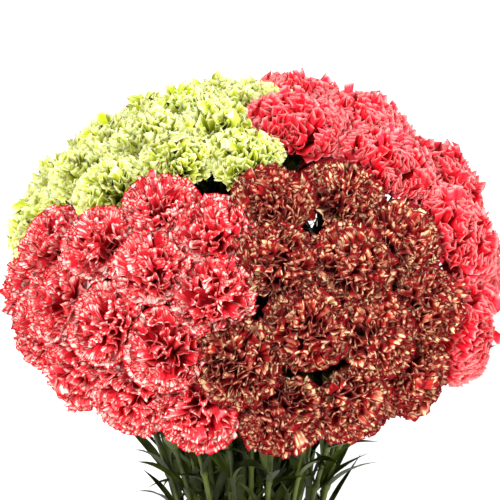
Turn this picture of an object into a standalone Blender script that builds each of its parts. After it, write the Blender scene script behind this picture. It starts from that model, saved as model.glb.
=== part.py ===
"""Carnations standing in a tapered glass vase.

Metres, +Z up. The origin is the centre of the vase's flat underside. The
flowers form a half-dome above the vase in four blocks of one colour each:
lime at the back left, coral at the right, red-edged white at the front left
and burgundy at the front right. A carnation grew as one piece, so its head,
calyx and stem are one solid, and each carnation is one node.
"""

import math

import bmesh
import bpy
from mathutils import Vector

# ---- vase ---------------------------------------------------------------
VASE_HEIGHT = 0.190
VASE_BASE_RADIUS = 0.064
VASE_RIM_RADIUS = 0.084
GLASS_WALL = 0.004
GLASS_BASE = 0.012
VASE_EDGE_ROUND = 0.0015
TURNED_SIDES = 48

# ---- water --------------------------------------------------------------
WATER_DEPTH = 0.115

# ---- dome of flower heads -----------------------------------------------
DOME_ABOVE_RIM = 0.322
DOME_RADIUS = 0.216
DOME_RISE = 0.136
DOME_SKIRT = 0.012
HEAD_TURN_OUT = 0.85
SETTLING_ROUNDS = 160

# ---- one carnation ------------------------------------------------------
STEM_RADIUS = 0.0026
CALYX_LENGTH = 0.028
CALYX_TOP_RADIUS = 0.0078
CALYX_FOOT_RADIUS = 0.0052
CALYX_TO_STEM = 0.004
STEM_NECK_REACH = 0.40
STEM_MOUTH_REACH = 0.40
STEM_STEPS = 5
STEM_TWIST = math.radians(20.0)
STEM_TO_GLASS = 0.007
TUBE_RESOLUTION = 2

# Head profile from the calyx outwards: place along the axis and radius,
# both as shares of the head's radius, inside a ball of that radius.
HEAD_PROFILE = ((-0.75, None), (-0.50, 0.55), (-0.22, 0.90), (0.12, 0.96), (0.44, 0.74), (0.62, 0.34))

# ---- fits ---------------------------------------------------------------
CLEARANCE = 0.0003
HEAD_GAP = 0.0006

# Each cultivar: head radius, petal colour, and its rows over the dome as
# (height angle, first bearing, last bearing, how many), angles in degrees.
CULTIVARS = {
    "lime": (0.0325, (0.52, 0.62, 0.18), (
        (82, 130, 245, 2), (62, 112, 218, 4), (43, 112, 206, 5), (25, 98, 190, 5), (6, 101, 180, 5))),
    "coral": (0.0455, (0.80, 0.10, 0.12), (
        (74, -12, -12, 1), (54, -34, 30, 2), (38, -14, 64, 3), (11, -28, 76, 5))),
    "red_edged": (0.0325, (0.82, 0.42, 0.40), (
        (48, 236, 260, 2), (32, 217, 254, 3), (15, 200, 246, 4), (-6, 190, 252, 5))),
    "burgundy": (0.0335, (0.42, 0.05, 0.05), (
        (50, 284, 304, 2), (32, 270, 304, 3), (13, 264, 308, 4), (-6, 268, 312, 3))),
}


def clear_scene():
    for item in list(bpy.data.objects):
        bpy.data.objects.remove(item, do_unlink=True)


def principled(name, colour, roughness, alpha=1.0, transmission=0.0):
    material = bpy.data.materials.new(name)
    material.use_nodes = True
    shader = material.node_tree.nodes["Principled BSDF"]
    shader.inputs["Base Color"].default_value = (*colour, 1.0)
    shader.inputs["Roughness"].default_value = roughness
    shader.inputs["Metallic"].default_value = 0.0
    shader.inputs["Alpha"].default_value = alpha
    shader.inputs["Transmission Weight"].default_value = transmission
    material.diffuse_color = (*colour, alpha)
    return material


def add_object(name, data, material):
    data.materials.append(material)
    item = bpy.data.objects.new(name, data)
    bpy.context.scene.collection.objects.link(item)
    return item


# ---- where the heads sit -------------------------------------------------
def on_dome(height_angle, bearing):
    """The point of the dome at these angles, measured from the dome's base centre."""
    reach = DOME_RADIUS * math.cos(height_angle)
    return Vector((
        reach * math.cos(bearing),
        reach * math.sin(bearing),
        DOME_RISE * math.sin(height_angle)))


def back_onto_dome(point):
    """The dome's point in the same direction, no lower than the skirt."""
    share = Vector((point.x / DOME_RADIUS, point.y / DOME_RADIUS, point.z / DOME_RISE)).normalized()
    lowest = -DOME_SKIRT / DOME_RISE
    if share.z < lowest:
        level = math.hypot(share.x, share.y)
        widen = math.sqrt(1.0 - lowest * lowest) / level
        share = Vector((share.x * widen, share.y * widen, lowest))
    return Vector((share.x * DOME_RADIUS, share.y * DOME_RADIUS, share.z * DOME_RISE))


def head_axis(point):
    """Outward direction of a head: the dome's normal, turned back up a little."""
    normal = Vector((point.x / DOME_RADIUS**2, point.y / DOME_RADIUS**2, point.z / DOME_RISE**2))
    lean = math.atan2(math.hypot(normal.x, normal.y), normal.z) * HEAD_TURN_OUT
    bearing = math.atan2(point.y, point.x)
    return Vector((
        math.sin(lean) * math.cos(bearing),
        math.sin(lean) * math.sin(bearing),
        math.cos(lean)))


def settled_heads():
    """All heads as [cultivar, place, radius], pushed apart until they just touch."""
    heads = []
    for cultivar, (radius, _, rows) in CULTIVARS.items():
        for height, first, last, count in rows:
            for step in range(count):
                share = step / (count - 1) if count > 1 else 0.0
                bearing = first + (last - first) * share
                place = on_dome(math.radians(height), math.radians(bearing))
                heads.append([cultivar, place, radius])
    for _ in range(SETTLING_ROUNDS):
        for index, first in enumerate(heads):
            for second in heads[index + 1:]:
                apart = second[1] - first[1]
                short = first[2] + second[2] + HEAD_GAP - apart.length
                if short > 0.0:
                    push = apart.normalized() * (short * 0.5)
                    first[1] = first[1] - push
                    second[1] = second[1] + push
        for head in heads:
            head[1] = back_onto_dome(head[1])
    return shrunk_to_fit(heads)


def shrunk_to_fit(heads):
    """The heads with each radius cut to what its nearest neighbours leave."""
    fitted = []
    for cultivar, place, radius in heads:
        room = radius
        for _, other, other_radius in heads:
            if other is not place:
                between = (other - place).length - HEAD_GAP
                room = min(room, between * radius / (radius + other_radius))
        fitted.append((cultivar, place, room))
    return fitted


# ---- vase ---------------------------------------------------------------
def vase_outer_radius(height):
    return VASE_BASE_RADIUS + (VASE_RIM_RADIUS - VASE_BASE_RADIUS) * height / VASE_HEIGHT


def vase_inner_radius(height):
    return vase_outer_radius(height) - GLASS_WALL


def turned(name, profile, material):
    """A closed turned solid from (radius, height) points that start and end on the axis."""
    mesh = bpy.data.meshes.new(name)
    shape = bmesh.new()
    points = [shape.verts.new((radius, 0.0, height)) for radius, height in profile]
    edges = [shape.edges.new(pair) for pair in zip(points, points[1:])]
    bmesh.ops.spin(
        shape, geom=points + edges, cent=(0, 0, 0), axis=(0, 0, 1),
        angle=2.0 * math.pi, steps=TURNED_SIDES, use_merge=True)
    bmesh.ops.remove_doubles(shape, verts=shape.verts, dist=1e-6)
    bmesh.ops.recalc_face_normals(shape, faces=shape.faces)
    shape.to_mesh(mesh)
    shape.free()
    mesh.shade_smooth()
    mesh.set_sharp_from_angle(angle=math.radians(35))
    return add_object(name, mesh, material)


def make_vase():
    glass = principled("clear_glass", (0.92, 0.96, 0.95), 0.03, alpha=0.35, transmission=1.0)
    edge = VASE_EDGE_ROUND
    profile = (
        (0.0, 0.0),
        (VASE_BASE_RADIUS - edge, 0.0),
        (vase_outer_radius(edge), edge),
        (vase_outer_radius(VASE_HEIGHT - edge), VASE_HEIGHT - edge),
        (VASE_RIM_RADIUS - edge, VASE_HEIGHT),
        (VASE_RIM_RADIUS - GLASS_WALL + edge, VASE_HEIGHT),
        (vase_inner_radius(VASE_HEIGHT - edge), VASE_HEIGHT - edge),
        (vase_inner_radius(GLASS_BASE + edge), GLASS_BASE + edge),
        (vase_inner_radius(GLASS_BASE) - edge, GLASS_BASE),
        (0.0, GLASS_BASE),
    )
    return turned("vase", profile, glass)


def make_water(stems):
    """The water, a turned solid with a clear way through it for each stem."""
    look = principled("water", (0.85, 0.93, 0.92), 0.02, alpha=0.35, transmission=1.0)
    bottom = GLASS_BASE + CLEARANCE
    corner = GLASS_BASE + VASE_EDGE_ROUND + CLEARANCE
    top = GLASS_BASE + WATER_DEPTH
    profile = (
        (0.0, bottom),
        (vase_inner_radius(bottom) - VASE_EDGE_ROUND - 2 * CLEARANCE, bottom),
        (vase_inner_radius(corner) - 2 * CLEARANCE, corner),
        (vase_inner_radius(top) - 2 * CLEARANCE, top),
        (0.0, top),
    )
    water = turned("water", profile, look)
    cutter = make_stem_cutter(stems)
    cut = water.modifiers.new("stem_ways", "BOOLEAN")
    cut.operation = "DIFFERENCE"
    cut.solver = "EXACT"
    cut.object = cutter
    return water


def make_stem_cutter(stems):
    """One straight eight-sided rod per stem, wide enough to clear the stem's own tube."""
    sides = 4 + 2 * TUBE_RESOLUTION
    reach = (STEM_RADIUS + CLEARANCE) / math.cos(math.pi / sides)
    shape = bmesh.new()
    for foot, mouth in stems:
        along = (mouth - foot).normalized()
        low = foot - along * GLASS_BASE
        turn = Vector((0, 0, 1)).rotation_difference(along).to_matrix().to_4x4()
        middle = (low + mouth) / 2.0
        turn.translation = middle
        bmesh.ops.create_cone(
            shape, cap_ends=True, segments=sides, radius1=reach, radius2=reach,
            depth=(mouth - low).length, matrix=turn)
    mesh = bpy.data.meshes.new("stem_cutter")
    shape.to_mesh(mesh)
    shape.free()
    cutter = bpy.data.objects.new("stem_cutter", mesh)
    bpy.context.scene.collection.objects.link(cutter)
    cutter.hide_render = True
    cutter.display_type = "WIRE"
    return cutter


# ---- carnations ----------------------------------------------------------
def stem_line(place):
    """Foot and mouth points of the stem's straight run inside the vase."""
    share = (math.pi / 2 - math.asin(place.z / DOME_RISE)) / (math.pi / 2 + math.asin(DOME_SKIRT / DOME_RISE))
    bearing = math.atan2(place.y, place.x)
    mouth_reach = share * (vase_inner_radius(VASE_HEIGHT) - STEM_TO_GLASS)
    foot_reach = share * (vase_inner_radius(GLASS_BASE) - STEM_TO_GLASS)
    foot_bearing = bearing - STEM_TWIST
    mouth = Vector((mouth_reach * math.cos(bearing), mouth_reach * math.sin(bearing), VASE_HEIGHT))
    foot = Vector((
        foot_reach * math.cos(foot_bearing),
        foot_reach * math.sin(foot_bearing),
        GLASS_BASE + CLEARANCE))
    lean = (mouth - foot).normalized()
    foot.z += STEM_RADIUS * math.hypot(lean.x, lean.y)
    return foot, mouth


def bezier(start, start_pull, end_pull, end, share):
    rest = 1.0 - share
    return (
        start * rest**3
        + start_pull * (3.0 * rest * rest * share)
        + end_pull * (3.0 * rest * share * share)
        + end * share**3)


def make_carnation(name, place, radius, material):
    """One swept solid: foot, stem, calyx and head, along the carnation's own line."""
    foot, mouth = stem_line(place)
    centre = place + Vector((0.0, 0.0, VASE_HEIGHT + DOME_ABOVE_RIM))
    axis = head_axis(place)
    calyx_top = centre + axis * (HEAD_PROFILE[0][0] * radius)
    calyx_foot = calyx_top - axis * CALYX_LENGTH
    neck = calyx_foot - axis * CALYX_TO_STEM
    rise = (mouth - foot).normalized()
    span = (neck - mouth).length
    # A head that leans further bends its stem over a shorter length, which keeps the stems apart.
    neck_pull = neck - axis * (span * STEM_NECK_REACH * axis.z)
    mouth_pull = mouth + rise * (span * STEM_MOUTH_REACH)
    route = [(foot, STEM_RADIUS)]
    for step in range(STEM_STEPS + 1):
        point = bezier(mouth, mouth_pull, neck_pull, neck, step / STEM_STEPS)
        route.append((point, STEM_RADIUS))
    route.append((calyx_foot, CALYX_FOOT_RADIUS))
    route.append((calyx_top, CALYX_TOP_RADIUS))
    for along, across in HEAD_PROFILE[1:]:
        route.append((centre + axis * (along * radius), across * radius))
    curve = bpy.data.curves.new(name, "CURVE")
    curve.dimensions = "3D"
    curve.bevel_depth = 1.0
    curve.bevel_resolution = TUBE_RESOLUTION
    curve.use_fill_caps = True
    curve.render_resolution_u = 0
    spline = curve.splines.new("POLY")
    spline.points.add(len(route) - 1)
    for control, (point, thickness) in zip(spline.points, route):
        control.co = (*point, 1.0)
        control.radius = thickness
    return add_object(name, curve, material)


def make_bouquet():
    """Every carnation, numbered within its cultivar, and the stems' straight runs."""
    looks = {name: principled(name + "_petals", colour, 0.7) for name, (_, colour, _) in CULTIVARS.items()}
    counts = dict.fromkeys(CULTIVARS, 0)
    stems = []
    for cultivar, place, radius in settled_heads():
        counts[cultivar] += 1
        name = f"{cultivar}_carnation_{counts[cultivar]:02d}"
        make_carnation(name, place, radius, looks[cultivar])
        stems.append(stem_line(place))
    return stems


def main():
    clear_scene()
    make_vase()
    stems = make_bouquet()
    make_water(stems)


main()
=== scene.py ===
"""Carnations in a glass vase: petals, calyces, stems, leaves, glass and water around the CAD frame."""

import logging
import math
import random
from collections.abc import Iterator
from dataclasses import dataclass, field
from enum import Enum

import bmesh
import bpy
from mathutils import Matrix, Vector


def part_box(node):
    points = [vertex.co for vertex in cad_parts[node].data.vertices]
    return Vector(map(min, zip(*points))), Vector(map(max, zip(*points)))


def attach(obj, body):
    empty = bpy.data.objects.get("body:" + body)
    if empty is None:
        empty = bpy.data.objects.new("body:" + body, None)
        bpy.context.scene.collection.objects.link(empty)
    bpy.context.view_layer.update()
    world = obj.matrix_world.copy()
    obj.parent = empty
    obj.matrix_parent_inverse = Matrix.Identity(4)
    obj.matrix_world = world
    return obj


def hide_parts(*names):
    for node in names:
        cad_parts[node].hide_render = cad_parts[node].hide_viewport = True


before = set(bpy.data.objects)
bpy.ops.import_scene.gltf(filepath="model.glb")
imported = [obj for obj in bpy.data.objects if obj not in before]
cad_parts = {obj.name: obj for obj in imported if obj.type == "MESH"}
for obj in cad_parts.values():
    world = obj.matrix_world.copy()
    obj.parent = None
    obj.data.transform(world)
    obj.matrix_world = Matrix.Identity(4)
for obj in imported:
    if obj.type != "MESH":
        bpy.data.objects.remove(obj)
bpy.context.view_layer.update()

LOG = logging.getLogger("carnations")
GOLDEN_TURN = math.pi * (3.0 - math.sqrt(5.0))
UP = Vector((0.0, 0.0, 1.0))
PETAL_MAP = "petal"
LEAF_MAP = "leaf"
TONE = "tone"
AGE = "age"
GUARD_FROM = 0.62
GUARD_SPAN = 0.30

Colour = tuple[float, float, float]


class Cultivar(Enum):
    """The four kinds of carnation, named as their CAD nodes are."""

    LIME = "lime"
    CORAL = "coral"
    RED_EDGED = "red_edged"
    BURGUNDY = "burgundy"


# ---------------------------------------------------------------- finishes
def rgb(red: int, green: int, blue: int) -> Colour:
    """A display colour, 0 to 255 a channel, as the linear values that shaders take."""
    def channel(value: int) -> float:
        share = value / 255.0
        return share / 12.92 if share <= 0.04045 else ((share + 0.055) / 1.055) ** 2.4
    return channel(red), channel(green), channel(blue)


@dataclass(frozen=True)
class PetalFinish:
    """Colours and markings of one cultivar's petals; the heart colour is partly the petal's deep base
    and partly painted shade deep inside the head.
    """

    heart_and_depth_shade: Colour
    # flush: the petal's middle colour, partly its own and partly painted shade from the creases between
    # petals
    flush: Colour
    blade: Colour
    streak: Colour
    edge: Colour
    edge_from: float
    edge_to: float
    edge_wander: float
    streak_amount: float
    streak_count: float
    shaded_heart_to: float


PETAL_FINISHES: dict[Cultivar, PetalFinish] = {
    Cultivar.LIME: PetalFinish(
        heart_and_depth_shade=rgb(118, 128, 0), flush=rgb(174, 186, 16), blade=rgb(212, 218, 88),
        streak=rgb(222, 224, 130), edge=rgb(246, 246, 186), edge_from=0.76, edge_to=1.0,
        edge_wander=0.30, streak_amount=0.35, streak_count=16.0, shaded_heart_to=0.70),
    Cultivar.CORAL: PetalFinish(
        heart_and_depth_shade=rgb(180, 0, 12), flush=rgb(232, 0, 30), blade=rgb(244, 46, 66),
        streak=rgb(246, 84, 94), edge=rgb(255, 160, 158), edge_from=0.87, edge_to=1.03,
        edge_wander=0.12, streak_amount=0.25, streak_count=18.0, shaded_heart_to=0.66),
    Cultivar.RED_EDGED: PetalFinish(
        heart_and_depth_shade=rgb(186, 0, 20), flush=rgb(226, 48, 60), blade=rgb(255, 226, 214),
        streak=rgb(220, 18, 44), edge=rgb(206, 0, 24), edge_from=0.90, edge_to=0.97,
        edge_wander=0.14, streak_amount=0.85, streak_count=30.0, shaded_heart_to=0.70),
    Cultivar.BURGUNDY: PetalFinish(
        heart_and_depth_shade=rgb(116, 0, 14), flush=rgb(176, 34, 24), blade=rgb(255, 214, 164),
        streak=rgb(150, 6, 18), edge=rgb(126, 0, 14), edge_from=0.84, edge_to=0.94,
        edge_wander=0.22, streak_amount=0.8, streak_count=22.0, shaded_heart_to=0.78),
}


@dataclass(frozen=True)
class GreenFinish:
    """Colours of a stem, calyx or leaf, with its waxy bloom."""

    name: str
    shade: Colour
    light: Colour
    wax: Colour
    wax_amount: float = 0.22
    roughness: float = 0.55


class NodeBench:
    """A short way to add and join shader nodes in one tree."""

    def __init__(self, tree: bpy.types.NodeTree) -> None:
        """Works on a material's or a group's node tree."""
        self.tree = tree

    def add(self, kind: str, **settings: object) -> bpy.types.Node:
        """Adds a node of a kind, with these settings as its properties."""
        node = self.tree.nodes.new(kind)
        for name, value in settings.items():
            setattr(node, name, value)
        return node

    def fill(self, node: bpy.types.Node, given: dict) -> None:
        """Joins or sets a node's inputs, given by name or number.

        Args:
            node: the node.
            given: sockets, numbers, colours or vectors for its inputs.
        """
        for label, value in given.items():
            target = node.inputs[label]
            if isinstance(value, bpy.types.NodeSocket):
                self.tree.links.new(value, target)
            elif target.type == "RGBA":
                target.default_value = (*value, 1.0)
            else:
                target.default_value = value

    def maths(self, operation: str, *values: object, clamp: bool = False) -> bpy.types.NodeSocket:
        """The result of an operation on numbers or sockets, kept between 0 and 1 if clamped."""
        node = self.add("ShaderNodeMath", operation=operation, use_clamp=clamp)
        self.fill(node, dict(enumerate(values)))
        return node.outputs[0]

    def swing(self, mask: bpy.types.NodeSocket, amount: object) -> bpy.types.NodeSocket:
        """A mask from 0 to 1, moved to swing about 0 and scaled by the amount."""
        return self.maths("MULTIPLY", self.maths("SUBTRACT", mask, 0.5), amount)

    def lowered(self, start: object, mask: bpy.types.NodeSocket, amount: float) -> bpy.types.NodeSocket:
        """A value, lowered by the amount where the mask is 1."""
        return self.maths("SUBTRACT", start, self.maths("MULTIPLY", mask, amount))

    def ramp(self, value: bpy.types.NodeSocket, low: object, high: object) -> bpy.types.NodeSocket:
        """A smooth step from 0 at low to 1 at high."""
        node = self.add("ShaderNodeMapRange", interpolation_type="SMOOTHSTEP")
        self.fill(node, {"Value": value, "From Min": low, "From Max": high})
        return node.outputs["Result"]

    def blend(self, mask: bpy.types.NodeSocket, first: object, second: object) -> bpy.types.NodeSocket:
        """Mixes two colours: the first where the mask is 0, the second where it is 1."""
        node = self.add("ShaderNodeMix", data_type="RGBA")
        self.fill(node, {0: mask, 6: first, 7: second})
        return node.outputs[2]

    def noise(self, place: bpy.types.NodeSocket, scale: float, detail: float) -> bpy.types.NodeSocket:
        """Noise between 0 and 1 at the given place."""
        node = self.add("ShaderNodeTexNoise")
        self.fill(node, {"Vector": place, "Scale": scale, "Detail": detail})
        return node.outputs["Fac"]

    def layer(self, name: str) -> bpy.types.NodeSocket:
        """The value of a vertex layer."""
        return self.add("ShaderNodeAttribute", attribute_name=name).outputs["Fac"]

    def bump(
            self, height: bpy.types.NodeSocket, strength: float,
            distance: float) -> bpy.types.NodeSocket:
        """A normal that follows a height mask."""
        node = self.add("ShaderNodeBump")
        self.fill(node, {"Height": height, "Strength": strength, "Distance": distance})
        return node.outputs[0]


def new_group(name: str, inputs: dict[str, float], outputs: tuple[str, ...]) -> tuple:
    """Starts a shader node group.

    Args:
        name: the group's name.
        inputs: its inputs and their defaults.
        outputs: names of its outputs.

    Returns:
        The group, its bench, its input node and its output node.
    """
    group = bpy.data.node_groups.new(name, "ShaderNodeTree")
    for label, value in inputs.items():
        socket = group.interface.new_socket(label, in_out="INPUT", socket_type="NodeSocketFloat")
        socket.default_value = value
    for label in outputs:
        group.interface.new_socket(label, in_out="OUTPUT", socket_type="NodeSocketFloat")
    bench = NodeBench(group)
    return group, bench, bench.add("NodeGroupInput"), bench.add("NodeGroupOutput")


@dataclass(frozen=True)
class Markings:
    """Limits, noise scales and strengths of the markings that all petals share."""

    petal_shift: float = 61.0
    streak_stretch: float = 1.6
    patch_scales: tuple = (7.0, 4.0)
    vein_scales: tuple = (46.0, 2.5)
    guard_full: float = 0.94
    shaded_heart_soft: float = 0.36
    shaded_heart_wander: float = 0.3
    guard_shaded_heart_loss: float = 0.30
    guard_streak_loss: float = 0.45
    blade_from: float = 0.66
    blade_to: float = 0.90
    guard_blade_losses: tuple = (0.36, 0.20)
    streak_levels: tuple = (0.56, 0.70)
    streak_gain: float = 0.16
    lightness_from: float = 0.86
    lightness_range: float = 0.30


def petal_marking_group() -> bpy.types.NodeTree:
    """The markings that all petals share: heart, which is partly painted shade deep in the head, open
    blade, streaks, edge band, lightness and veins.

    The guard petals, outermost in a head, have a smaller heart with less painted shade, a larger blade
    and weaker streaks.

    Returns:
        The node group.
    """
    size = Markings()
    group, bench, given, result = new_group(
        "petal_markings",
        {"Edge From": 0.8, "Edge To": 1.0, "Edge Wander": 0.2, "Streak Count": 20.0,
         "Streak Amount": 0.5, "Shaded Heart To": 0.6},
        ("Heart And Shade", "Blade", "Streak", "Edge", "Lightness", "Vein"))
    parts = bench.add("ShaderNodeSeparateXYZ")
    bench.fill(parts, {0: bench.add("ShaderNodeUVMap", uv_map=PETAL_MAP).outputs[0]})
    across, outward = parts.outputs[0], parts.outputs[1]
    petal_place = bench.maths("MULTIPLY", bench.layer(TONE), size.petal_shift)
    guard = bench.ramp(bench.layer(AGE), GUARD_FROM, size.guard_full)

    def pattern(across_scale: object, outward_scale: float, detail: float) -> bpy.types.NodeSocket:
        """Noise over the petal, scaled both ways and different on each petal."""
        place = bench.add("ShaderNodeCombineXYZ")
        bench.fill(place, {0: bench.maths("MULTIPLY", across, across_scale),
                           1: bench.maths("MULTIPLY", outward, outward_scale), 2: petal_place})
        return bench.noise(place.outputs[0], 1.0, detail)

    streaks = pattern(given.outputs["Streak Count"], size.streak_stretch, 1.5)
    patches = pattern(*size.patch_scales, 2.0)
    edge_wander = bench.maths("MULTIPLY", bench.swing(streaks, given.outputs["Edge Wander"]), 2.0)
    edge_reach = bench.maths("ADD", outward, edge_wander)
    # the heart mask reaches further out on inner petals: the petal's darker base plus painted shade deep
    # inside the head
    shaded_heart_reach = bench.maths("ADD", outward, bench.swing(patches, size.shaded_heart_wander))
    shaded_heart_to = bench.lowered(given.outputs["Shaded Heart To"], guard, size.guard_shaded_heart_loss)
    shaded_heart_from = bench.maths("SUBTRACT", shaded_heart_to, size.shaded_heart_soft)
    blade_reach = bench.maths("ADD", outward, bench.swing(patches, 1.0))
    blade_from = bench.lowered(size.blade_from, guard, size.guard_blade_losses[0])
    blade_to = bench.lowered(size.blade_to, guard, size.guard_blade_losses[1])
    raised = bench.maths("ADD", streaks, bench.swing(patches, 0.5))
    outer_half = bench.maths("MULTIPLY", bench.ramp(outward, 0.25, 0.95), size.streak_gain)
    marks = bench.ramp(bench.maths("ADD", raised, outer_half), *size.streak_levels)
    strength = bench.maths(
        "MULTIPLY", given.outputs["Streak Amount"], bench.lowered(1.0, guard, size.guard_streak_loss))
    uneven = bench.maths("MULTIPLY", bench.maths("FRACT", petal_place), size.lightness_range)
    bench.fill(result, {
        "Heart And Shade": bench.maths("SUBTRACT", 1.0, bench.ramp(shaded_heart_reach, shaded_heart_from, shaded_heart_to)),
        "Blade": bench.ramp(blade_reach, blade_from, blade_to),
        "Streak": bench.maths("MULTIPLY", marks, strength, clamp=True),
        "Edge": bench.ramp(edge_reach, given.outputs["Edge From"], given.outputs["Edge To"]),
        "Lightness": bench.maths("ADD", size.lightness_from, uneven),
        "Vein": pattern(*size.vein_scales, 1.0)})
    return group


def green_marking_group() -> bpy.types.NodeTree:
    """What all green parts share: mottling, long fibres and a waxy bloom.

    Returns:
        The node group.
    """
    group, bench, given, result = new_group("green_markings", {"Wax": 0.4}, ("Mottle", "Wax", "Fibre"))
    place = bench.add("ShaderNodeTexCoord").outputs["Object"]
    stretch = bench.add("ShaderNodeMapping")
    bench.fill(stretch, {"Vector": place, "Scale": (900.0, 900.0, 40.0)})
    mottle = bench.maths("ADD", bench.noise(place, 60.0, 3.0), bench.swing(bench.layer(TONE), 0.6))
    wax = bench.ramp(bench.noise(place, 24.0, 2.0), 0.42, 0.66)
    bench.fill(result, {
        "Mottle": bench.ramp(mottle, 0.25, 0.8),
        "Wax": bench.maths("MULTIPLY", wax, given.outputs["Wax"], clamp=True),
        "Fibre": bench.noise(stretch.outputs[0], 1.0, 1.0)})
    return group


def new_material(name: str) -> tuple[bpy.types.Material, NodeBench, bpy.types.Node]:
    """A material with its bench and its Principled shader."""
    material = bpy.data.materials.new(name)
    material.use_nodes = True
    return material, NodeBench(material.node_tree), material.node_tree.nodes["Principled BSDF"]


class FinishShop:
    """Makes each material once from the finishes and the shared groups."""

    # the stem and leaf greens are darkened to near-black olive: their own colour plus painted shade from
    # under the heads
    GREENS = {
        "stem": GreenFinish(
            "stem_green", shade=rgb(34, 42, 4), light=rgb(78, 90, 24), wax=rgb(98, 106, 62)),
        "calyx": GreenFinish(
            "calyx_green", shade=rgb(60, 80, 18), light=rgb(108, 126, 44), wax=rgb(136, 150, 96)),
        "leaf": GreenFinish(
            "leaf_green", shade=rgb(24, 32, 2), light=rgb(62, 74, 18), wax=rgb(86, 96, 54),
            wax_amount=0.24),
    }

    # painted edge shade on the glass and water: how dark it gets, and from what facing it starts
    EDGE_SHADE_LEVEL = 0.28
    EDGE_SHADE_FROM = 0.60

    def __init__(self) -> None:
        """Builds the groups and every material."""
        self.petal_group = petal_marking_group()
        self.green_group = green_marking_group()
        self.petals = {kind: self._petal(kind, look) for kind, look in PETAL_FINISHES.items()}
        self.greens = {part: self._green(look) for part, look in self.GREENS.items()}
        self.glass = self._clear("vase_glass", (0.93, 0.975, 0.96), ior=1.27, shadow=0.30)
        self.water = self._clear("vase_water", (0.95, 0.985, 0.98), ior=1.18, shadow=0.12)

    def _petal(self, kind: Cultivar, look: PetalFinish) -> bpy.types.Material:
        """A cultivar's petal material."""
        material, bench, shader = new_material(f"{kind.value}_petal")
        marks = bench.add("ShaderNodeGroup", node_tree=self.petal_group)
        bench.fill(marks, {
            "Edge From": look.edge_from, "Edge To": look.edge_to, "Edge Wander": look.edge_wander,
            "Streak Count": look.streak_count, "Streak Amount": look.streak_amount,
            "Shaded Heart To": look.shaded_heart_to})
        # where the blade mask is low the petal takes its flush colour, which is partly painted shade in
        # the creases between petals
        colour = bench.blend(marks.outputs["Blade"], look.flush, look.blade)
        # the heart colour covers the petal's base and paints the shade deep inside the head
        for mark, paint in (("Heart And Shade", look.heart_and_depth_shade), ("Streak", look.streak), ("Edge", look.edge)):
            colour = bench.blend(marks.outputs[mark], colour, paint)
        tinted = bench.add("ShaderNodeHueSaturation")
        bench.fill(tinted, {"Color": colour, "Value": marks.outputs["Lightness"]})
        bench.fill(shader, {
            "Base Color": tinted.outputs[0], "Roughness": 0.62,
            "Normal": bench.bump(marks.outputs["Vein"], strength=0.25, distance=0.0004),
            "Sheen Weight": 0.03, "Sheen Roughness": 0.5, "Specular IOR Level": 0.15,
            "Subsurface Weight": 0.30, "Subsurface Scale": 0.006,
            "Subsurface Radius": (1.0, 0.35, 0.25)})
        return material

    def _green(self, look: GreenFinish) -> bpy.types.Material:
        """A stem, calyx or leaf material."""
        material, bench, shader = new_material(look.name)
        marks = bench.add("ShaderNodeGroup", node_tree=self.green_group)
        bench.fill(marks, {"Wax": look.wax_amount})
        body = bench.blend(marks.outputs["Mottle"], look.shade, look.light)
        dulled = bench.maths("MULTIPLY", marks.outputs["Wax"], 0.2)
        bench.fill(shader, {
            "Base Color": bench.blend(marks.outputs["Wax"], body, look.wax), "Specular IOR Level": 0.2,
            "Roughness": bench.maths("ADD", look.roughness, dulled),
            "Normal": bench.bump(marks.outputs["Fibre"], strength=0.3, distance=0.0003)})
        return material

    def _clear(self, name: str, tint: Colour, ior: float, shadow: float) -> bpy.types.Material:
        """A clear material that lets most light through, with painted shade that darkens it where it is
        seen edge on.

        Args:
            name: the material's name.
            tint: colour of the light that passes.
            ior: index of refraction.
            shadow: how much of a shadow it throws, 0 to 1.

        Returns:
            The material.
        """
        material, bench, shader = new_material(name)
        facing = bench.add("ShaderNodeLayerWeight").outputs["Facing"]
        # painted shade: the tint is darkened towards the silhouettes, where the surface is seen edge on
        painted_edge_shade = tuple(share * self.EDGE_SHADE_LEVEL for share in tint)
        shadow_ray = bench.add("ShaderNodeLightPath").outputs["Is Shadow Ray"]
        bench.fill(shader, {
            "Base Color": bench.blend(bench.ramp(facing, self.EDGE_SHADE_FROM, 1.0), tint, painted_edge_shade),
            "Specular IOR Level": 0.08, "Transmission Weight": 1.0, "Roughness": 0.0, "IOR": ior,
            "Alpha": bench.lowered(1.0, shadow_ray, 1.0 - shadow)})
        return material


# ------------------------------------------------------------- placement
@dataclass
class Head:
    """One flower head: its cultivar, its place on the dome and its radius."""

    cultivar: Cultivar
    number: int
    place: Vector
    radius: float

    @property
    def node(self) -> str:
        """Name of the head's CAD node."""
        return f"{self.cultivar.value}_carnation_{self.number:02d}"


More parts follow.
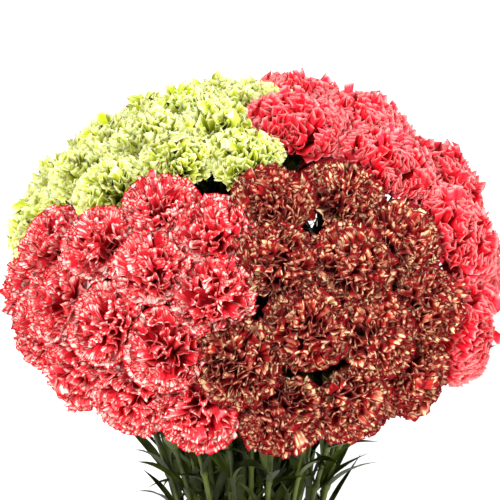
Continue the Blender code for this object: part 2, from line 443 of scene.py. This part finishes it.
@dataclass
class Dome:
    """The half-dome that the heads form, with the driving sizes of the CAD part.

    Each row holds its height angle, its first and last bearing, and its number of heads.
    """

    above_rim: float = 0.322
    radius: float = 0.216
    rise: float = 0.136
    skirt: float = 0.012
    turn_out: float = 0.85
    rounds: int = 160
    head_gap: float = 0.0006

    HEAD_RADIUS = {
        Cultivar.LIME: 0.0325, Cultivar.CORAL: 0.0455,
        Cultivar.RED_EDGED: 0.0325, Cultivar.BURGUNDY: 0.0335}
    ROWS = {
        Cultivar.LIME: (
            (82, 130, 245, 2), (62, 112, 218, 4), (43, 112, 206, 5), (25, 98, 190, 5), (6, 101, 180, 5)),
        Cultivar.CORAL: ((74, -12, -12, 1), (54, -34, 30, 2), (38, -14, 64, 3), (11, -28, 76, 5)),
        Cultivar.RED_EDGED: ((48, 236, 260, 2), (32, 217, 254, 3), (15, 200, 246, 4), (-6, 190, 252, 5)),
        Cultivar.BURGUNDY: ((50, 284, 304, 2), (32, 270, 304, 3), (13, 264, 308, 4), (-6, 268, 312, 3))}

    def _row_place(self, height: float, bearing: float) -> Vector:
        """The dome's point at these angles, in degrees, from the dome's base centre."""
        tilt = math.radians(height)
        return polar(self.radius * math.cos(tilt), math.radians(bearing), self.rise * math.sin(tilt))

    def _back_onto(self, point: Vector) -> Vector:
        """The dome's point in the same direction, no lower than the skirt."""
        share = Vector((point.x / self.radius, point.y / self.radius, point.z / self.rise)).normalized()
        lowest = -self.skirt / self.rise
        if share.z < lowest:
            widen = math.sqrt(1.0 - lowest * lowest) / math.hypot(share.x, share.y)
            share = Vector((share.x * widen, share.y * widen, lowest))
        return Vector((share.x * self.radius, share.y * self.radius, share.z * self.rise))

    def axis(self, place: Vector) -> Vector:
        """Outward direction of the head at this place."""
        normal = Vector((place.x / self.radius**2, place.y / self.radius**2, place.z / self.rise**2))
        lean = math.atan2(math.hypot(normal.x, normal.y), normal.z) * self.turn_out
        return polar(math.sin(lean), math.atan2(place.y, place.x), math.cos(lean))

    def settle(self) -> list[Head]:
        """Places every head, pushed apart until neighbours just touch, as the CAD part does.

        Returns:
            The heads, in the order of their cultivars and rows.
        """
        heads: list[Head] = []
        for cultivar, rows in self.ROWS.items():
            number = 0
            for height, first, last, count in rows:
                for step in range(count):
                    share = step / (count - 1) if count > 1 else 0.0
                    number += 1
                    place = self._row_place(height, first + (last - first) * share)
                    heads.append(Head(cultivar, number, place, self.HEAD_RADIUS[cultivar]))
        for _ in range(self.rounds):
            self._push_apart(heads)
        return self._fitted(heads)

    def _push_apart(self, heads: list[Head]) -> None:
        """One round of settling: touching heads share the push, then all return to the dome."""
        for index, first in enumerate(heads):
            for second in heads[index + 1:]:
                apart = second.place - first.place
                short = first.radius + second.radius + self.head_gap - apart.length
                if short > 0.0:
                    push = apart.normalized() * (short * 0.5)
                    first.place = first.place - push
                    second.place = second.place + push
        for head in heads:
            head.place = self._back_onto(head.place)

    def _fitted(self, heads: list[Head]) -> list[Head]:
        """The heads with each radius cut to what its nearest neighbours leave."""
        fitted = []
        for head in heads:
            room = head.radius
            for other in heads:
                if other is not head:
                    between = (other.place - head.place).length - self.head_gap
                    room = min(room, between * head.radius / (head.radius + other.radius))
            fitted.append(Head(head.cultivar, head.number, head.place, room))
        return fitted


@dataclass
class VaseShape:
    """The vase's sizes: the height and radii come from the frame, the rest from the CAD part."""

    wall: float = 0.004
    floor: float = 0.012
    lip: float = 0.0015
    flare: float = 0.020

    def __post_init__(self) -> None:
        """Reads the height and the rim's radius from the CAD vase."""
        low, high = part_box("vase")
        self.height = high.z - low.z
        self.rim_radius = (high.x - low.x) / 2.0
        self.base_radius = self.rim_radius - self.flare
        self.water_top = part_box("water")[1].z

    def outer(self, height: float) -> float:
        """Outside radius at a height."""
        return self.base_radius + (self.rim_radius - self.base_radius) * height / self.height

    def inner(self, height: float) -> float:
        """Inside radius at a height."""
        return self.outer(height) - self.wall


class StemRoute:
    """One stem's line: straight in the vase, then a curve up to its head."""

    RADIUS = 0.0026
    CLEARANCE = 0.0003
    TO_GLASS = 0.007
    TWIST = math.radians(20.0)
    BEND_SHARE = 0.40
    CALYX_LENGTH = 0.028
    HEAD_BASE = 0.75
    NECK = 0.004

    def __init__(self, head: Head, dome: Dome, vase: VaseShape) -> None:
        """Works the route out from the head's place.

        Args:
            head: the flower head.
            dome: the dome that it sits on.
            vase: the vase that the stem stands in.
        """
        place = head.place
        lowest = math.pi / 2 + math.asin(dome.skirt / dome.rise)
        share = (math.pi / 2 - math.asin(place.z / dome.rise)) / lowest
        bearing = math.atan2(place.y, place.x)
        self.mouth = polar(share * (vase.inner(vase.height) - self.TO_GLASS), bearing, vase.height)
        self.foot = polar(
            share * (vase.inner(vase.floor) - self.TO_GLASS), bearing - self.TWIST,
            vase.floor + self.CLEARANCE)
        rise = (self.mouth - self.foot).normalized()
        self.foot.z += self.RADIUS * math.hypot(rise.x, rise.y)
        self.axis = dome.axis(place)
        self.centre = place + UP * (vase.height + dome.above_rim)
        self.calyx_top = self.centre - self.axis * (self.HEAD_BASE * head.radius)
        self.calyx_foot = self.calyx_top - self.axis * self.CALYX_LENGTH
        neck = self.calyx_foot - self.axis * self.NECK
        span = (neck - self.mouth).length
        bend = span * self.BEND_SHARE * self.axis.z
        self.controls = (
            self.mouth, self.mouth + rise * (span * self.BEND_SHARE), neck - self.axis * bend, neck)

    def curve(self, share: float) -> Vector:
        """Point of the free curve, from the vase's mouth (0) to the neck under the calyx (1)."""
        return bezier(self.controls, share)

    def heading(self, share: float) -> Vector:
        """Direction of the free curve at a point."""
        return (self.curve(min(1.0, share + 0.01)) - self.curve(max(0.0, share - 0.01))).normalized()


def polar(reach: float, bearing: float, height: float) -> Vector:
    """The point at a distance from the upright axis, a bearing in radians and a height."""
    return Vector((reach * math.cos(bearing), reach * math.sin(bearing), height))


def bezier(controls: tuple, share: float) -> Vector:
    """A cubic Bezier curve's point."""
    first, second, third, fourth = controls
    rest = 1.0 - share
    return (first * rest**3 + second * (3 * rest * rest * share)
            + third * (3 * rest * share * share) + fourth * share**3)


def side_of(direction: Vector) -> Vector:
    """Any unit vector square to a direction, chosen the same way each time."""
    helper = Vector((1.0, 0.0, 0.0)) if abs(direction.x) < 0.8 else Vector((0.0, 1.0, 0.0))
    return direction.cross(helper).normalized()


# ------------------------------------------------------------- mesh help
def add_object(name: str, data: bpy.types.ID) -> bpy.types.Object:
    """A new object with this data, linked into the scene."""
    made = bpy.data.objects.new(name, data)
    bpy.context.scene.collection.objects.link(made)
    return made


def to_mesh(name: str, shape: bmesh.types.BMesh, material: bpy.types.Material) -> bpy.types.Mesh:
    """A mesh with one material from a bmesh, which is freed."""
    mesh = bpy.data.meshes.new(name)
    shape.to_mesh(mesh)
    shape.free()
    mesh.materials.append(material)
    return mesh


def finish_piece(
        name: str, shape: bmesh.types.BMesh, material: bpy.types.Material) -> bpy.types.Object:
    """Turns a bmesh into a smooth-shaded piece of the object.

    Args:
        name: the piece's name.
        shape: its bmesh, which is freed.
        material: its material.

    Returns:
        The new object, riding on the root body.
    """
    mesh = to_mesh(name, shape, material)
    mesh.shade_smooth()
    piece = add_object(name, mesh)
    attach(piece, "root")
    return piece


def grid_places(
        shape: bmesh.types.BMesh, columns: int,
        rows: int) -> Iterator[tuple[bmesh.types.BMVert, float, int]]:
    """Adds a flat grid and gives its vertices one by one, to be moved.

    Args:
        shape: the bmesh to add to.
        columns: faces across.
        rows: faces along.

    Yields:
        A vertex, its place across from -1 to 1, and its row.
    """
    made = bmesh.ops.create_grid(shape, x_segments=columns, y_segments=rows, size=1.0, calc_uvs=True)
    for vertex in made["verts"]:
        yield vertex, vertex.co.x, round((vertex.co.y + 1.0) / 2.0 * rows)


def tube(
        shape: bmesh.types.BMesh, line: list[tuple[Vector, float]], sides: int,
        close: bool = True) -> list:
    """Sweeps a ring along a line of points with radii, by extruding one circle.

    Args:
        shape: the bmesh to add to.
        line: points and radii along the tube.
        sides: number of sides.
        close: whether both ends get a face.

    Returns:
        The last ring's vertices.
    """
    headings = []
    for index in range(len(line)):
        before = line[max(0, index - 1)][0]
        after = line[min(len(line) - 1, index + 1)][0]
        headings.append((after - before).normalized())
    turn = UP.rotation_difference(headings[0]).to_matrix()
    ring = bmesh.ops.create_circle(shape, segments=sides, radius=1.0, cap_ends=close)["verts"]
    offsets = [turn @ vertex.co for vertex in ring]
    for vertex, offset in zip(ring, offsets):
        vertex.co = line[0][0] + offset * line[0][1]
    edges = [edge for edge in shape.edges if edge.verts[0] in ring and edge.verts[1] in ring]
    for step in range(1, len(line)):
        bend = headings[step - 1].rotation_difference(headings[step]).to_matrix()
        offsets = [bend @ offset for offset in offsets]
        grown = bmesh.ops.extrude_edge_only(shape, edges=edges)["geom"]
        edges = [item for item in grown if isinstance(item, bmesh.types.BMEdge)]
        fresh = [item for item in grown if isinstance(item, bmesh.types.BMVert)]
        place = {}
        for vertex in fresh:
            source = min(range(sides), key=lambda index: (ring[index].co - vertex.co).length_squared)
            place[source] = vertex
        ring = [place[index] for index in range(sides)]
        for vertex, offset in zip(ring, offsets):
            vertex.co = line[step][0] + offset * line[step][1]
    if close:
        bmesh.ops.contextual_create(shape, geom=ring)
    return ring


# ---------------------------------------------------------------- bloom
@dataclass(frozen=True)
class BloomHabit:
    """How one cultivar's petals are shaped and set."""

    petals: int
    half_width: float
    open_angle: float
    waves: float
    ruffle: float
    frill: float
    tooth: float
    cup: float
    roll: float
    twist: float
    wrap: float
    upright: float = 0.60
    spread: float = 1.24
    flop: float = 0.8
    crown: float = 0.70


HABITS: dict[Cultivar, BloomHabit] = {
    Cultivar.LIME: BloomHabit(
        petals=62, half_width=0.42, open_angle=104.0, waves=2.6, ruffle=0.15, frill=0.050, tooth=0.030,
        cup=0.05, roll=0.10, twist=42.0, wrap=0.35),
    Cultivar.CORAL: BloomHabit(
        petals=72, half_width=0.38, open_angle=106.0, waves=3.2, ruffle=0.11, frill=0.050, tooth=0.012,
        cup=0.06, roll=0.20, twist=34.0, wrap=0.4, spread=1.20),
    Cultivar.RED_EDGED: BloomHabit(
        petals=50, half_width=0.48, open_angle=106.0, waves=1.9, ruffle=0.15, frill=0.022, tooth=0.012,
        cup=0.08, roll=0.16, twist=38.0, wrap=0.5),
    Cultivar.BURGUNDY: BloomHabit(
        petals=60, half_width=0.45, open_angle=106.0, waves=2.3, ruffle=0.18, frill=0.040, tooth=0.022,
        cup=0.06, roll=0.16, twist=46.0, wrap=0.4),
}


class Bloom:
    """The petals of one head, each a ruffled and toothed fan, set in a spiral."""

    COLUMNS = 16
    ROWS = 4
    CLAW = 0.12
    CLAW_WIDTH = 0.10
    ROLL_FROM = 0.7
    LEAN_STRAY = 0.09
    BEARING_STRAY = 0.25
    BASE_PULL = 0.60
    TIP_PULL = 0.50
    GUARD_WIDTH = 0.25
    GUARD_UNTWIST = 0.5
    GUARD_SMOOTH = 0.35
    RIM_CURVE = 0.24

    def __init__(self, head: Head, route: StemRoute) -> None:
        """Prepares a head's bloom on its stem's route."""
        self.head = head
        self.route = route
        self.habit = HABITS[head.cultivar]
        self.chance = random.Random(head.node)

    def build(self, material: bpy.types.Material) -> bpy.types.Object:
        """Makes the bloom as one piece that stands for the carnation's CAD node."""
        shape = bmesh.new()
        shape.loops.layers.uv.new(PETAL_MAP)
        layers = (shape.verts.layers.float.new(TONE), shape.verts.layers.float.new(AGE))
        first = self.chance.uniform(0.0, math.tau)
        for index in range(self.habit.petals):
            self._petal(shape, layers, index, first + index * GOLDEN_TURN)
        piece = finish_piece(f"{self.head.node}_bloom", shape, material)
        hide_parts(self.head.node)
        return piece

    def _petal(self, shape: bmesh.types.BMesh, layers: tuple, index: int, bearing: float) -> None:
        """Adds one petal.

        Args:
            shape: the bloom's bmesh.
            layers: the vertex layers of the petal's tone and age.
            index: the petal's place in the spiral, from the middle outwards.
            bearing: its angle round the axis.
        """
        habit, chance, size = self.habit, self.chance, self.head.radius
        axis = self.route.axis
        east = side_of(axis)
        share = (index + 0.5) / habit.petals
        guard = min(1.0, max(0.0, (share - GUARD_FROM) / GUARD_SPAN))
        widest = math.cos(math.radians(habit.open_angle))
        lean = math.acos(1.0 - share**1.12 * (1.0 - widest))
        lean = max(0.05, lean + chance.uniform(-self.LEAN_STRAY, self.LEAN_STRAY))
        bearing += chance.uniform(-self.BEARING_STRAY, self.BEARING_STRAY)
        outward = east * math.cos(bearing) + axis.cross(east) * math.sin(bearing)
        reach = size * chance.uniform(0.93, 1.06)
        tip = (self.route.centre + axis * (habit.crown * reach * math.cos(lean))
               + outward * (habit.spread * reach * math.sin(lean)))
        base = self.route.calyx_top + outward * (0.004 * math.sin(min(lean, 1.5)))
        flop = chance.gauss(0.0, habit.flop) * (1.0 - share) ** 1.5
        aim = lean * (habit.upright + (1.1 - habit.upright) * share**2.5) + flop
        point = axis * math.cos(aim) + outward * math.sin(aim)
        controls = (
            base, base + axis * (self.BASE_PULL * size), tip - point * (self.TIP_PULL * size), tip)
        side = axis.cross(outward).normalized()
        twist = math.radians(chance.gauss(0.0, habit.twist)) * (1.5 - share)
        twist *= 1.0 - self.GUARD_UNTWIST * guard
        width = size * habit.half_width * (0.80 + 0.30 * share + self.GUARD_WIDTH * guard)
        width *= chance.uniform(0.88, 1.12)
        wave_turn, frill_turn, swell_turn = (chance.uniform(0.0, math.tau) for _ in range(3))
        waves = habit.waves * chance.uniform(0.85, 1.15)
        ruffle = size * habit.ruffle * chance.uniform(0.8, 1.2) * (1.0 - self.GUARD_SMOOTH * guard)
        mark = chance.random()

        lines = self._cross_lines(controls, side, twist)
        for vertex, across, row in grid_places(shape, self.COLUMNS, self.ROWS):
            column = round((across + 1.0) / 2.0 * self.COLUMNS)
            share_out, middle, forward, sideways, facing = lines[row]
            inward = outward - forward * outward.dot(forward)
            open_width = width * (self.CLAW_WIDTH + (1.0 - self.CLAW_WIDTH) * share_out**0.9)
            swing = share_out**1.8
            wave = math.sin(math.pi * waves * across + wave_turn + 0.8 * share_out)
            frill = math.sin(math.pi * waves * 1.9 * across + frill_turn)
            gather = math.sin(math.pi * waves * 2.0 * across + swell_turn) * 0.10 * swing
            rolled = max(0.0, share_out - self.ROLL_FROM) ** 2 * 8.0 * (0.4 + share)
            lift = (habit.cup * width * across * across * share_out
                    + swing * ruffle * wave
                    + share_out**5 * size * habit.frill * frill
                    - habit.roll * size * rolled)
            back = self.RIM_CURVE * width * across * across * share_out**2
            if row == self.ROWS:
                back += size * habit.tooth * (1.0 if column % 2 else -1.0) * (0.6 + 0.4 * frill)
            from_axis = (middle - self.route.centre).cross(axis).length
            bend = max(from_axis, 0.2 * size) / habit.wrap
            curl = open_width * (across + gather) / bend
            vertex.co = (
                middle + sideways * (bend * math.sin(curl)) - inward * (bend * (1.0 - math.cos(curl)))
                + facing * lift - forward * back)
            vertex[layers[0]] = mark
            vertex[layers[1]] = share

    def _cross_lines(self, controls: tuple, side: Vector, twist: float) -> list[tuple]:
        """The petal's cross lines from claw to rim.

        Args:
            controls: the midrib's Bezier points.
            side: the direction across the petal.
            twist: its turn about the midrib, in radians.

        Returns:
            For each line its share of the length, its middle, and the directions
            along, across and square to the petal.
        """
        lines = []
        for row in range(self.ROWS + 1):
            share = 1.0 - (1.0 - self.CLAW) * (1.0 - row / self.ROWS) ** 1.55
            middle = bezier(controls, share)
            forward = (middle - bezier(controls, share - 0.05)).normalized()
            turned = Matrix.Rotation(twist * share, 3, forward)
            sideways = turned @ (side - forward * side.dot(forward)).normalized()
            lines.append((share, middle, forward, sideways, sideways.cross(forward).normalized()))
        return lines


# ------------------------------------------------------------ green parts
class Greenery:
    """The calyx, stem and leaves of one carnation."""

    STEM_SIDES = 8
    CALYX_SIDES = 10
    JOINTS = 7
    JOINT_STEP = 0.145
    SWELLING = ((-0.022, 1.0), (-0.008, 1.45), (0.006, 1.45), (0.018, 1.0))
    STEM_STOPS = 12
    MIN_STEP = 0.006
    CALYX_PROFILE = (
        (-0.15, 0.0026), (0.0, 0.0040), (0.08, 0.0054), (0.45, 0.0066), (0.85, 0.0078), (1.06, 0.0090))
    SCALES = 4
    SCALE_ROWS = 4
    DENSE_FROM = 0.55
    LEAF_STEPS = 9
    LEAF_OFF = 0.0022

    def __init__(self, head: Head, route: StemRoute, shop: FinishShop) -> None:
        """Prepares one carnation's green parts."""
        self.head = head
        self.route = route
        self.shop = shop
        self.chance = random.Random(head.node + " green")
        start = self.chance.uniform(0.03, 0.10)
        self.joints = [start + self.JOINT_STEP * step for step in range(self.JOINTS)]

    def build(self) -> list[bpy.types.Object]:
        """Makes the stem, the calyx and the leaves."""
        return [self._stem(), self._calyx(), self._leaves()]

    def _stem(self) -> bpy.types.Object:
        """The round stem, swollen at each joint."""
        route = self.route
        line = [(route.foot, route.RADIUS), (route.foot.lerp(route.mouth, 0.48), route.RADIUS)]
        stops = {0.9, *(step / self.STEM_STOPS for step in range(self.STEM_STOPS + 1))}
        swollen = {joint + offset: swell for joint in self.joints for offset, swell in self.SWELLING}
        for share in sorted(stops | set(swollen)):
            if share in swollen or all(abs(share - stop) >= self.MIN_STEP for stop in swollen):
                line.append((route.curve(share), route.RADIUS * swollen.get(share, 1.0)))
        shape = bmesh.new()
        tube(shape, line, self.STEM_SIDES)
        self._tone(shape)
        bmesh.ops.recalc_face_normals(shape, faces=shape.faces)
        return finish_piece(f"{self.head.node}_stem", shape, self.shop.greens["stem"])

    def _calyx(self) -> bpy.types.Object:
        """The calyx: a ribbed tube with five pointed teeth, on a collar of small scales."""
        route = self.route
        axis = route.axis
        length = route.CALYX_LENGTH
        line = [
            (route.calyx_foot + axis * (length * share), radius) for share, radius in self.CALYX_PROFILE]
        shape = bmesh.new()
        rim = tube(shape, line, self.CALYX_SIDES, close=False)
        for index, vertex in enumerate(rim):
            out = (vertex.co - line[-1][0]).normalized()
            if index % 2:
                vertex.co += axis * (0.16 * length) + out * 0.0022
            else:
                vertex.co -= axis * (0.10 * length)
        self._scales(shape)
        self._tone(shape)
        return finish_piece(f"{self.head.node}_calyx", shape, self.shop.greens["calyx"])

    def _scales(self, shape: bmesh.types.BMesh) -> None:
        """Four small pointed scales that clasp the calyx's foot."""
        route = self.route
        east = side_of(route.axis)
        for step in range(self.SCALES):
            outward = Matrix.Rotation(step * math.pi / 2 + 0.4, 3, route.axis) @ east
            sideways = route.axis.cross(outward)
            for vertex, across, row in grid_places(shape, 2, self.SCALE_ROWS):
                share = row / self.SCALE_ROWS
                width = 0.0042 * math.sqrt(max(0.0, 1.0 - share)) * (0.7 + 0.6 * share)
                off = 0.0048 + 0.0024 * share - 0.0010 * across * across
                vertex.co = (route.calyx_foot + route.axis * (-0.002 + 0.012 * share)
                             + sideways * (width * across) + outward * off)

    def _leaves(self) -> bpy.types.Object:
        """Pairs of narrow curled leaves, one at each joint and three at the high joints."""
        shape = bmesh.new()
        shape.loops.layers.uv.new(LEAF_MAP)
        tone = shape.verts.layers.float.new(TONE)
        turn = self.chance.uniform(0.0, math.tau)
        for index, joint in enumerate(self.joints):
            heading = self.route.heading(joint)
            east = side_of(heading)
            for half in range(2):
                angle = turn + index * math.pi / 2 + half * math.pi + self.chance.uniform(-0.3, 0.3)
                outward = Matrix.Rotation(angle, 3, heading) @ east
                for step in range(3 if joint > self.DENSE_FROM else 1):
                    beside = Matrix.Rotation(step * math.pi / 3, 3, heading) @ outward
                    root = self.route.curve(joint - 0.05 * step)
                    self._leaf(shape, tone, root, heading, beside, joint)
        return finish_piece(f"{self.head.node}_leaves", shape, self.shop.greens["leaf"])

    def _leaf(
            self, shape: bmesh.types.BMesh, tone: object, root: Vector,
            heading: Vector, outward: Vector, joint: float) -> None:
        """Adds one keeled leaf that leaves the stem steeply and curls away at its tip.

        Args:
            shape: the leaves' bmesh.
            tone: the vertex layer that tells leaves apart.
            root: where the leaf clasps the stem.
            heading: the stem's direction there.
            outward: the side that the leaf grows from.
            joint: the joint's share of the free stem.
        """
        chance = self.chance
        length = chance.uniform(0.060, 0.095) * (1.15 - 0.4 * joint)
        width = chance.uniform(0.0032, 0.0052) * (1.0 + 0.5 * joint)
        start, finish = chance.uniform(0.15, 0.4) + 0.5 * joint, chance.uniform(0.5, 1.9)
        sweep = chance.uniform(-0.6, 0.6)
        sideways = heading.cross(outward).normalized()
        spine, facings = [root + outward * self.LEAF_OFF], []
        for step in range(self.LEAF_STEPS + 1):
            share = step / self.LEAF_STEPS
            lean = start + (finish - start) * share**1.8
            along = heading * math.cos(lean) + outward * math.sin(lean)
            along += sideways * (sweep * share * share)
            along.normalize()
            facings.append((heading * -math.sin(lean) + outward * math.cos(lean)).normalized())
            spine.append(spine[-1] + along * (length / self.LEAF_STEPS))
        mark = chance.random()
        for vertex, across, step in grid_places(shape, 2, self.LEAF_STEPS):
            share = step / self.LEAF_STEPS
            half = width * (0.55 + 0.65 * math.sin(math.pi * min(1.0, share * 1.1))) * (1.0 - share**3)
            keel = -0.45 * half * abs(across)
            vertex.co = spine[step] + sideways * (half * across) + facings[step] * keel
            vertex[tone] = mark

    def _tone(self, shape: bmesh.types.BMesh) -> None:
        """Gives every vertex of a piece the same chance tone."""
        layer = shape.verts.layers.float.new(TONE)
        mark = self.chance.random()
        for vertex in shape.verts:
            vertex[layer] = mark


def build_carnation(head: Head, route: StemRoute, shop: FinishShop) -> None:
    """Makes a carnation's bloom, calyx, stem and leaves, and logs them."""
    bloom = Bloom(head, route).build(shop.petals[head.cultivar])
    greens = Greenery(head, route, shop).build()
    LOG.info("%s: %s", head.node, ", ".join(piece.name for piece in [bloom, *greens]))


# ---------------------------------------------------------- vase and water
class Vase:
    """The turned glass vase and the water in it."""

    SIDES = 96
    WALL_STEPS = 6
    CORNER = 0.006
    WATER_GAP = 0.0003
    MENISCUS = 0.0016
    INTO_GLASS = 0.0004

    def __init__(self, size: VaseShape, shop: FinishShop) -> None:
        """Prepares the vase."""
        self.size = size
        self.shop = shop

    def build(self) -> None:
        """Makes the glass and the water and logs them."""
        size, corner = self.size, self.CORNER
        foot, half = 2 * size.lip, size.wall / 2
        levels = [size.height * step / self.WALL_STEPS for step in range(1, self.WALL_STEPS)]
        outline = [(0.0, 0.0), (size.base_radius - foot, 0.0)]
        outline += self._rounded(size.base_radius - foot, foot, foot, -90, 0)
        outline += [(size.outer(level), level) for level in levels]
        outline += self._rounded(size.rim_radius - half, size.height - half, half, 0, 180)
        outline += [(size.inner(level), level) for level in reversed(levels)]
        outline += self._rounded(
            size.inner(size.floor + corner) - corner, size.floor + corner, corner, 0, -90)
        outline += [(0.0, size.floor)]
        glass = self._turned("vase_glass", outline, self.shop.glass)
        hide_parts("vase")
        top, bottom = size.water_top, size.floor + self.WATER_GAP
        edge = size.inner(top) - self.INTO_GLASS
        water_outline = [(0.0, bottom), (size.inner(bottom) - corner, bottom)]
        water_outline += self._rounded(
            size.inner(bottom + corner) - corner - self.INTO_GLASS, bottom + corner, corner, -90, 0)
        water_outline += [(edge, top), (edge - 0.0012, top - 0.6 * self.MENISCUS),
                          (edge - 0.004, top - self.MENISCUS), (0.0, top - self.MENISCUS)]
        water = self._turned("vase_water", water_outline, self.shop.water)
        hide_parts("water")
        LOG.info("vase: %s, %s", glass.name, water.name)

    @staticmethod
    def _rounded(centre: float, height: float, radius: float, first: float, last: float) -> list[tuple]:
        """Points of a round corner, from the first to the last angle in degrees from outwards."""
        angles = [math.radians(first + (last - first) * step / 6) for step in range(7)]
        return [
            (centre + radius * math.cos(angle), height + radius * math.sin(angle)) for angle in angles]

    def _turned(
            self, name: str, outline: list[tuple[float, float]],
            material: bpy.types.Material) -> bpy.types.Object:
        """Spins an outline of radii and heights, which starts and ends on the axis, into a piece."""
        shape = bmesh.new()
        points = [shape.verts.new((radius, 0.0, height)) for radius, height in outline]
        edges = [shape.edges.new(pair) for pair in zip(points, points[1:])]
        bmesh.ops.spin(
            shape, geom=points + edges, cent=(0, 0, 0), axis=(0, 0, 1), angle=math.tau,
            steps=self.SIDES, use_merge=True)
        bmesh.ops.remove_doubles(shape, verts=shape.verts, dist=1e-6)
        bmesh.ops.recalc_face_normals(shape, faces=shape.faces)
        return finish_piece(name, shape, material)


# ---------------------------------------------------------------- studio
@dataclass
class Studio:
    """Plain pale floor, soft lights and the camera."""

    elevation: float = 35.0
    lens: float = 180.0
    distance: float = 2.42
    aim: Vector = field(default_factory=lambda: Vector((0.0, 0.0, 0.533)))
    floor_size: float = 40.0

    def build(self) -> None:
        """Sets up the floor, the world, the lights and the camera."""
        self._floor()
        self._world()
        self._light("key", (-0.8, -1.7, 2.3), 0.6, 72.0)
        self._light("fill", (1.7, -1.6, 1.6), 0.8, 52.0)
        self._light("back", (0.4, 1.9, 1.9), 1.2, 16.0)
        self._camera()
        bpy.context.scene.view_settings.view_transform = "Standard"

    def _floor(self) -> None:
        """A wide pale floor at the vase's foot."""
        shape = bmesh.new()
        bmesh.ops.create_grid(shape, x_segments=1, y_segments=1, size=self.floor_size)
        material, bench, shader = new_material("floor_white")
        bench.fill(shader, {"Base Color": (0.97, 0.97, 0.97), "Roughness": 0.9})
        floor = add_object("floor", to_mesh("floor", shape, material))

    def _world(self) -> None:
        """A plain white surround."""
        world = bpy.data.worlds.new("surround")
        world.use_nodes = True
        background = world.node_tree.nodes["Background"]
        NodeBench(world.node_tree).fill(background, {"Color": (1.0, 1.0, 1.0), "Strength": 0.80})
        bpy.context.scene.world = world

    def _light(self, name: str, place: tuple[float, float, float], size: float, power: float) -> None:
        """A square soft light that faces the bouquet, its side in metres and its power in watts."""
        light = bpy.data.lights.new(name, "AREA")
        light.size = size
        light.energy = power
        self._aimed(name, light, Vector(place))

    def _aimed(self, name: str, data: bpy.types.ID, place: Vector) -> bpy.types.Object:
        """A light or a camera at a place, turned to the bouquet."""
        made = add_object(name, data)
        made.location = place
        made.rotation_euler = (self.aim - place).to_track_quat("-Z", "Y").to_euler()
        return made

    def _camera(self) -> None:
        """A long lens in front of the bouquet, looking down on it."""
        tilt = math.radians(self.elevation)
        camera = bpy.data.cameras.new("camera")
        camera.lens = self.lens
        place = self.aim + Vector((0.0, -math.cos(tilt), math.sin(tilt))) * self.distance
        bpy.context.scene.camera = self._aimed("camera", camera, place)


def main() -> None:
    """Builds the studio, the vase and every carnation."""
    logging.basicConfig(level=logging.INFO, format="%(message)s")
    Studio().build()
    shop = FinishShop()
    vase = VaseShape()
    dome = Dome()
    Vase(vase, shop).build()
    for head in dome.settle():
        build_carnation(head, StemRoute(head, dome, vase), shop)


if __name__ == "__main__":
    main()
